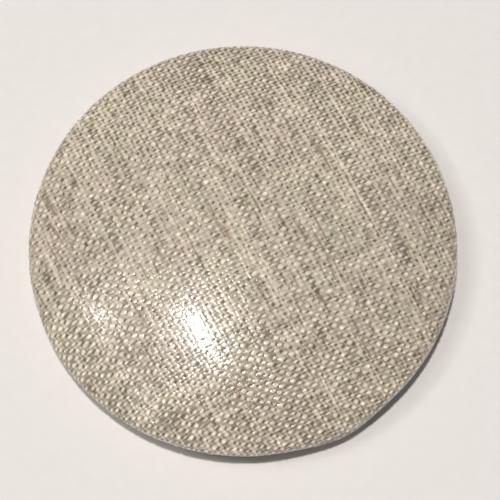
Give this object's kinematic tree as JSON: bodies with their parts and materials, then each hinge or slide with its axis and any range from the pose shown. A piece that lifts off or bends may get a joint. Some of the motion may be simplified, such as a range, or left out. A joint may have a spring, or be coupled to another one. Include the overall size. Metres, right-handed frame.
{
  "type": "sew on button",
  "caption": "Round cloth-covered button with a shallow domed face and a folding wire loop in its back for sewing it on.",
  "frame": {"origin": "bottom centre of the button, on the plane that the turned-under hem rests on", "axes": "+Z along the button's axis towards its domed face; X along the axis that the wire loop swings about; the loop lies folded towards -Y"},
  "size_m": [0.038, 0.038, 0.0075],
  "materials": {
    "linen": "plain-woven natural linen with a slight gloss",
    "tinplate": "tin-plated pressed steel",
    "card": "grey-brown millboard",
    "plate_steel": "nickel-plated pressed steel",
    "saddle_steel": "nickel-plated steel strip",
    "wire": "bright nickel-plated wire"
  },
  "bodies": {
    "button": {"fabric_cover": "linen", "front_shell": "tinplate", "filler_disc": "card", "back_plate": "plate_steel", "loop_saddle": "saddle_steel"},
    "loop": {"wire_loop": "wire"}
  },
  "joints": [
    {"name": "loop_swing", "type": "hinge", "parent": "button", "child": "loop", "pos_m": [0, 0, 0.00115], "axis": [1, 0, 0], "range_deg": [-3.5, 174]}
  ]
}
